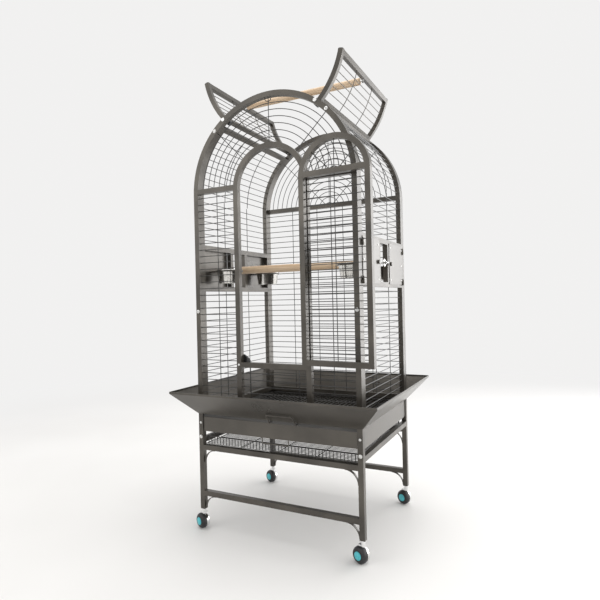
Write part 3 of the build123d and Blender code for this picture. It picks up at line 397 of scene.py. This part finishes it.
def turned_shape(shape, profile, steps):
    """Spins a closed outline of (radius, height) pairs about the shape's own Z axis."""
    round_turn = [2 * pi * i / steps for i in range(steps)]
    rings = []
    for radius, height in profile:
        if radius > 0.0:
            ring = [(radius * cos(angle), radius * sin(angle), height) for angle in round_turn]
            rings.append([shape.verts.new(spot) for spot in ring])
        else:
            rings.append([shape.verts.new((0.0, 0.0, height))])
    for lower, upper in zip(rings, rings[1:] + rings[:1]):
        for i in range(steps):
            j = (i + 1) % steps
            below, above = len(lower), len(upper)
            corners = [lower[i % below], lower[j % below], upper[j % above], upper[i % above]]
            corners = [v for n, v in enumerate(corners) if v not in corners[:n]]
            if len(corners) > 2:
                shape.faces.new(corners).smooth = True
    bmesh.ops.recalc_face_normals(shape, faces=shape.faces)


def keep_shape(shape, name, material):
    """Turns a finished bmesh into a mesh with one material."""
    mesh = bpy.data.meshes.new(name)
    shape.to_mesh(mesh)
    shape.free()
    mesh.materials.append(material)
    return mesh


# one head of unit radius: shoulder, dome and a hexagon socket sunk into it
SOCKET, SOCKET_TOP, SOCKET_FLOOR = 0.36, 0.53, 0.20
head = bmesh.new()
hexagon = [(SOCKET * cos(pi * i / 3), SOCKET * sin(pi * i / 3)) for i in range(6)]
levels = ((1.0, 0.0), (1.0, 0.12), (0.93, 0.30), (0.76, 0.44), (0.52, 0.52))
rings = [
    [head.verts.new((radius * cos(pi * i / 12), radius * sin(pi * i / 12), height)) for i in range(24)]
    for radius, height in levels
]
socket_top = []
socket_floor = []
for i in range(24):
    corner, share = divmod(i, 4)
    near, far = Vector(hexagon[corner]), Vector(hexagon[(corner + 1) % 6])
    spot = near.lerp(far, share / 4)
    socket_top.append(head.verts.new((spot.x, spot.y, SOCKET_TOP)))
    socket_floor.append(head.verts.new((spot.x, spot.y, SOCKET_FLOOR)))
rings += [socket_top, socket_floor]
for lower, upper in zip(rings, rings[1:]):
    for i in range(24):
        j = (i + 1) % 24
        head.faces.new((lower[i], lower[j], upper[j], upper[i]))
head.faces.new(socket_floor)
head.faces.new(rings[0])
bmesh.ops.recalc_face_normals(head, faces=head.faces)
screw_head = bpy.data.objects.new("screw_head", keep_shape(head, "screw_head", zinc_plate))

screw_tree, given, result = fitting_tree(
    "screws",
    (
        ("Head", "NodeSocketObject"),
        ("Head radius", "NodeSocketFloat"),
        ("Finish", "NodeSocketMaterial"),
    ),
)
info = screw_tree.nodes.new("GeometryNodeObjectInfo")
facing = screw_tree.nodes.new("GeometryNodeInputNamedAttribute")
facing.data_type = "FLOAT_VECTOR"
facing.inputs["Name"].default_value = "out"
aim = screw_tree.nodes.new("FunctionNodeAlignRotationToVector")
aim.axis = "Z"
twist = screw_tree.nodes.new("FunctionNodeRandomValue")
twist.inputs["Min"].default_value = 0.0
twist.inputs["Max"].default_value = 1.0
twist.inputs["Seed"].default_value = 3
spin = screw_tree.nodes.new("FunctionNodeAxisAngleToRotation")
turn_head = screw_tree.nodes.new("FunctionNodeRotateRotation")
turn_head.rotation_space = "LOCAL"
place_heads = screw_tree.nodes.new("GeometryNodeInstanceOnPoints")
solid_heads = screw_tree.nodes.new("GeometryNodeRealizeInstances")
plated = screw_tree.nodes.new("GeometryNodeSetMaterial")
chain(
    screw_tree,
    (given.outputs["Geometry"], place_heads.inputs["Points"]),
    (given.outputs["Head"], info.inputs["Object"]),
    (info.outputs["Geometry"], place_heads.inputs["Instance"]),
    (facing.outputs["Attribute"], aim.inputs["Vector"]),
    (twist.outputs[1], spin.inputs["Angle"]),
    (aim.outputs["Rotation"], turn_head.inputs["Rotation"]),
    (spin.outputs["Rotation"], turn_head.inputs["Rotate By"]),
    (turn_head.outputs["Rotation"], place_heads.inputs["Rotation"]),
    (given.outputs["Head radius"], place_heads.inputs["Scale"]),
    (place_heads.outputs["Instances"], solid_heads.inputs["Geometry"]),
    (solid_heads.outputs["Geometry"], plated.inputs["Geometry"]),
    (given.outputs["Finish"], plated.inputs["Material"]),
    (plated.outputs["Geometry"], result.inputs["Geometry"]),
)

FRAME_X, FRAME_Y = 0.340, 0.290
PANEL_BOLT, LEG_BOLT, BASE_SCREW = 0.879, 0.374, 0.431
ARCH_RADIUS = 0.340
arch_bolt = radians(45.0)
panel_spots, panel_outs, small_spots, small_outs = [], [], [], []
for side in (-1, 1):
    for end in (-1, 1):
        for spot in (
            (side * FRAME_X, end * FRAME_Y, PANEL_BOLT),
            (side * ARCH_RADIUS * cos(arch_bolt), end * FRAME_Y, SPRING + ARCH_RADIUS * sin(arch_bolt)),
            (side * FRAME_X, end * FRAME_Y, LEG_BOLT),
        ):
            panel_spots.append(spot)
            panel_outs.append((0.0, end, 0.0))
        small_spots.append((side * FRAME_X, end * FRAME_Y, BASE_SCREW))
        small_outs.append((0.0, end, 0.0))
# the screw that the door catch turns on
small_spots.append((-0.150, -FRAME_Y, 0.671))
small_outs.append((0.0, -1.0, 0.0))
panel_screws = set_out(
    "panel_screws",
    screw_tree,
    panel_spots,
    panel_outs,
    "cage",
    "zinc",
    **{"Head": screw_head, "Head radius": 0.0075, "Finish": zinc_plate},
)
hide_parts("panel_bolts")
set_out(
    "base_screws",
    screw_tree,
    small_spots,
    small_outs,
    "cage",
    "zinc",
    **{"Head": screw_head, "Head radius": 0.005, "Finish": zinc_plate},
)

# ---- Perches --------------------------------------------------------------------------------------
# Turned natural hardwood dowels, unvarnished. The grain runs along the perch in fine pale and
# tan streaks, with short pores and a few darker growth lines.

wood = Finish("perch_wood", Roughness=0.6)
long_grain = wood.noise(22.0, 6.0, stretch=(0.16, 3.4, 3.4))
fine_grain = wood.noise(110.0, 4.0, stretch=(0.08, 3.0, 3.0))
pores = wood.noise(420.0, 2.0, stretch=(0.10, 2.6, 2.6), centre=(0.4, 0.1, 0.2))
wood_tone = wood.shade(
    long_grain * 0.65 + fine_grain * 0.35,
    (0.34, (0.52, 0.355, 0.215)),
    (0.48, (0.66, 0.49, 0.325)),
    (0.60, (0.74, 0.57, 0.40)),
    (0.72, (0.61, 0.435, 0.275)),
)
pore = wood.shade(pores, (0.63, (0.0, 0.0, 0.0)), (0.72, (1.0, 1.0, 1.0)))
perch_wood = wood.coat(
    Base_Color=wood.blend(pore * 0.4, wood_tone, (0.30, 0.16, 0.07)),
    Roughness=fine_grain * 0.3 + 0.42,
    Normal=wood.bump(fine_grain + pore * -0.5, 0.0004, 0.5),
)
paint(perch_wood, "top_perch", "inner_perch")

# ---- Feeder cups --------------------------------------------------------------------------------
# Deep-drawn stainless cups with a rolled rim, which drop into the rings on the feeder doors.
# They are polished, with fine rings of spinning marks.

steel = Finish("stainless", Metallic=1.0)
marks = steel.noise(900.0, 3.0, stretch=(0.06, 0.06, 1.0))
stainless = steel.coat(
    Base_Color=steel.shade(steel.noise(30.0), (0.3, (0.70, 0.69, 0.66)), (0.7, (0.80, 0.79, 0.76))),
    Roughness=marks * 0.16 + 0.09,
    Normal=steel.bump(marks, 0.00006, 0.35),
)
CUP_OUTLINE = (
    (0.0, 0.0), (0.0385, 0.0), (0.0400, 0.0008), (0.0436, 0.0006), (0.0448, 0.0020), (0.0514, 0.0520),
    (0.0528, 0.0533), (0.0560, 0.0531), (0.0569, 0.0545), (0.0568, 0.0560), (0.0556, 0.0569),
    (0.0530, 0.0569), (0.0510, 0.0562), (0.0502, 0.0545), (0.0436, 0.0030), (0.0424, 0.0020),
    (0.0395, 0.0022), (0.0380, 0.0013), (0.0, 0.0013),
)
CUP_X, CUP_Y, CUP_FOOT = 0.276, 0.158, 0.993
PLATE_FACE = 0.3522
for name, side, end in CORNERS:
    bowl = bmesh.new()
    turned_shape(bowl, CUP_OUTLINE, 56)
    bowl.transform(Matrix.Translation((side * CUP_X, end * CUP_Y, CUP_FOOT)))
    steel_cup = bpy.data.objects.new(f"steel_cup_{name}", keep_shape(bowl, "steel_cup", stainless))
    bpy.context.scene.collection.objects.link(steel_cup)
    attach(steel_cup, f"cup_{name}")
    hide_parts(f"cup_{name}")
    # rivets that hold the sleeves and the ring's arms to the plate
    plate_spots = [
        (side * PLATE_FACE, end * along, height)
        for along in (0.080, 0.240)
        for height in (0.990, 1.055, 1.120)
    ]
    set_out(
        f"feeder_rivets_{name}",
        screw_tree,
        plate_spots,
        [(side, 0.0, 0.0)] * len(plate_spots),
        f"feeder_{name}",
        "zinc",
        **{"Head": screw_head, "Head radius": 0.0035, "Finish": zinc_plate},
    )

# ---- Casters --------------------------------------------------------------------------------------
# Single hooded casters: a chromed steel hood on a plain stem, a black nylon wheel with a shallow
# groove round its outer face, and a teal cap snapped over the axle.

chrome = Finish("caster_chrome", Metallic=1.0)
chrome_plate = chrome.coat(
    Base_Color=chrome.shade(chrome.noise(40.0), (0.3, (0.72, 0.72, 0.72)), (0.7, (0.84, 0.84, 0.84))),
    Roughness=chrome.noise(220.0, 4.0) * 0.12 + 0.05,
    Normal=chrome.bump(chrome.noise(300.0, 2.0), 0.00005, 0.3),
)
nylon = Finish("caster_nylon", Specular_IOR_Level=0.5)
scuffs = nylon.noise(300.0, 5.0)
black_nylon = nylon.coat(
    Base_Color=nylon.shade(scuffs, (0.4, (0.008, 0.008, 0.009)), (0.75, (0.030, 0.030, 0.031))),
    Roughness=scuffs * 0.3 + 0.3,
    Normal=nylon.bump(nylon.noise(900.0, 3.0), 0.0001, 0.4),
)
teal = Finish("caster_cap_teal", Coat_Weight=0.3)
teal_cap = teal.coat(
    Base_Color=teal.shade(
        teal.noise(120.0, 3.0), (0.3, (0.055, 0.44, 0.50)), (0.7, (0.085, 0.54, 0.60))
    ),
    Roughness=teal.noise(160.0, 3.0) * 0.2 + 0.25,
    Normal=teal.bump(teal.noise(700.0, 2.0), 0.00008, 0.3),
)
WHEEL_OUTLINE = (
    (0.00405, 0.0), (0.0280, 0.0), (0.0294, 0.0005), (0.0300, 0.0020), (0.0300, 0.0070),
    (0.0297, 0.0098), (0.0287, 0.0126), (0.0271, 0.0152), (0.0250, 0.0173), (0.0226, 0.0188),
    (0.0206, 0.0194), (0.0200, 0.0186), (0.0188, 0.0186), (0.0182, 0.0196), (0.0158, 0.0198),
    (0.0152, 0.0190), (0.00405, 0.0190),
)
CAP_OUTLINE = (
    (0.0, 0.0192), (0.0150, 0.0192), (0.0150, 0.0205), (0.0144, 0.0214), (0.0128, 0.0218),
    (0.0118, 0.0213), (0.0108, 0.0213), (0.0096, 0.0222), (0.0052, 0.0230), (0.0, 0.0232),
)
CASTER_X, CASTER_Y, AXLE_HEIGHT, AXLE_TRAIL = 0.340, 0.280, 0.030, 0.010
CASTER_TURN = radians(68.0)
CASTER_OUT = Vector((-cos(CASTER_TURN), -sin(CASTER_TURN), 0.0))
CASTER_BACK = Vector((CASTER_OUT.y, -CASTER_OUT.x, 0.0))
for name, side, end in CORNERS:
    paint(chrome_plate, f"caster_mount_{name}")
    hub = Vector((side * CASTER_X, end * CASTER_Y, AXLE_HEIGHT)) + CASTER_BACK * AXLE_TRAIL
    stand_up = Matrix.Translation(hub) @ CASTER_OUT.to_track_quat("Z", "Y").to_matrix().to_4x4()
    tyre = bmesh.new()
    turned_shape(tyre, WHEEL_OUTLINE, 48)
    tyre.transform(stand_up)
    wheel = bpy.data.objects.new(f"nylon_wheel_{name}", keep_shape(tyre, "nylon_wheel", black_nylon))
    cap = bmesh.new()
    turned_shape(cap, CAP_OUTLINE, 40)
    cap.transform(stand_up)
    hub_cap = bpy.data.objects.new(f"hub_cap_{name}", keep_shape(cap, "hub_cap", teal_cap))
    for piece in (wheel, hub_cap):
        bpy.context.scene.collection.objects.link(piece)
        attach(piece, f"wheel_{name}")
    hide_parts(f"caster_wheel_{name}")

# ---- Door catch -----------------------------------------------------------------------------------
# A glossy black nylon plate that turns on one screw behind the doorway's lower left corner and
# swings over the closed door's frame.

gloss = Finish("catch_nylon", Coat_Weight=0.5)
catch_black = gloss.coat(
    Base_Color=gloss.shade(
        gloss.noise(200.0), (0.4, (0.008, 0.008, 0.009)), (0.7, (0.018, 0.018, 0.020))
    ),
    Roughness=gloss.noise(150.0, 4.0) * 0.2 + 0.15,
    Normal=gloss.bump(gloss.noise(800.0), 0.00006, 0.3),
)
paint(catch_black, "door_catch")

# ---- Wing tube plugs ------------------------------------------------------------------------------
# The curved rails of both top wings end in black nylon plugs, pressed into the open square tube
# so that only a thin domed cap shows.

PIVOT = Vector((0.19811, 0.0, 1.62877))
OPENED = radians(100.4)
to_centre = Vector((-PIVOT.x, 0.0, SPRING - PIVOT.z))
open_centre = Vector(
    (
        PIVOT.x + cos(OPENED) * to_centre.x + sin(OPENED) * to_centre.z,
        0.0,
        PIVOT.z - sin(OPENED) * to_centre.x + cos(OPENED) * to_centre.z,
    )
)
# where the curved rails end along the roof, in degrees, and which way each end faces
WING_ENDS = ((52.5, -1), (88.0, 1))
WING_RAIL = 0.258
PLUG_LEVELS = ((0.0088, -0.004), (0.0088, 0.0), (0.0090, 0.0003), (0.0090, 0.0012), (0.0078, 0.0021))
for name, side in (("left", -1), ("right", 1)):
    plugs = bmesh.new()
    for angle, forward in WING_ENDS:
        for end in (-1, 1):
            turn = radians(angle) - OPENED
            outward = Vector((side * cos(turn), 0.0, sin(turn)))
            along = Vector((-side * sin(turn), 0.0, cos(turn))) * forward
            middle = Vector((side * open_centre.x, 0.0, open_centre.z)) + outward * ARCH_RADIUS
            middle.y = end * WING_RAIL
            across = Vector((0.0, 1.0, 0.0))
            rings = []
            for half, height in PLUG_LEVELS:
                ring = []
                for i in range(16):
                    angle_round = 2 * pi * (i + 0.5) / 16
                    squarish = max(abs(cos(angle_round)), abs(sin(angle_round))) ** 0.9
                    spot = middle + along * height
                    spot += across * (half * cos(angle_round) / squarish)
                    spot += outward * (half * sin(angle_round) / squarish)
                    ring.append(plugs.verts.new(spot))
                rings.append(ring)
            for lower, upper in zip(rings, rings[1:]):
                for i in range(16):
                    j = (i + 1) % 16
                    plugs.faces.new((lower[i], lower[j], upper[j], upper[i]))
            plugs.faces.new(rings[0])
            plugs.faces.new(rings[-1])
    bmesh.ops.recalc_face_normals(plugs, faces=plugs.faces)
    tube_plugs = bpy.data.objects.new(f"wing_plugs_{name}", keep_shape(plugs, "wing_plugs", black_nylon))
    bpy.context.scene.collection.objects.link(tube_plugs)
    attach(tube_plugs, f"wing_{name}")

# ---- Toy hook -------------------------------------------------------------------------------------
# A bent wire hook welded under the middle of the front arch, coated with it.

HOOK_WIRE = 0.0016
hook_line = bpy.data.curves.new("toy_hook", "CURVE")
hook_line.dimensions = "3D"
hook_line.bevel_depth = HOOK_WIRE
hook_line.bevel_resolution = 3
hook_line.use_fill_caps = True
hook_run = hook_line.splines.new("NURBS")
HOOK_POINTS = (
    (-0.014, -0.280, 1.6805), (-0.014, -0.279, 1.674), (-0.010, -0.278, 1.668), (0.0, -0.277, 1.667),
    (0.010, -0.278, 1.669), (0.013, -0.279, 1.675), (0.008, -0.280, 1.677),
)
hook_run.points.add(len(HOOK_POINTS) - 1)
for point, place in zip(hook_run.points, HOOK_POINTS):
    point.co = (*place, 1.0)
hook_run.order_u = 4
hook_run.use_endpoint_u = True
hook_holder = bpy.data.objects.new("toy_hook_line", hook_line)
bpy.context.scene.collection.objects.link(hook_holder)
graph = bpy.context.evaluated_depsgraph_get()
hook_mesh = bpy.data.meshes.new_from_object(hook_holder.evaluated_get(graph))
bpy.data.objects.remove(hook_holder)
hook_mesh.materials.append(tube_coat)
toy_hook = bpy.data.objects.new("toy_hook", hook_mesh)
bpy.context.scene.collection.objects.link(toy_hook)
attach(toy_hook, "cage")
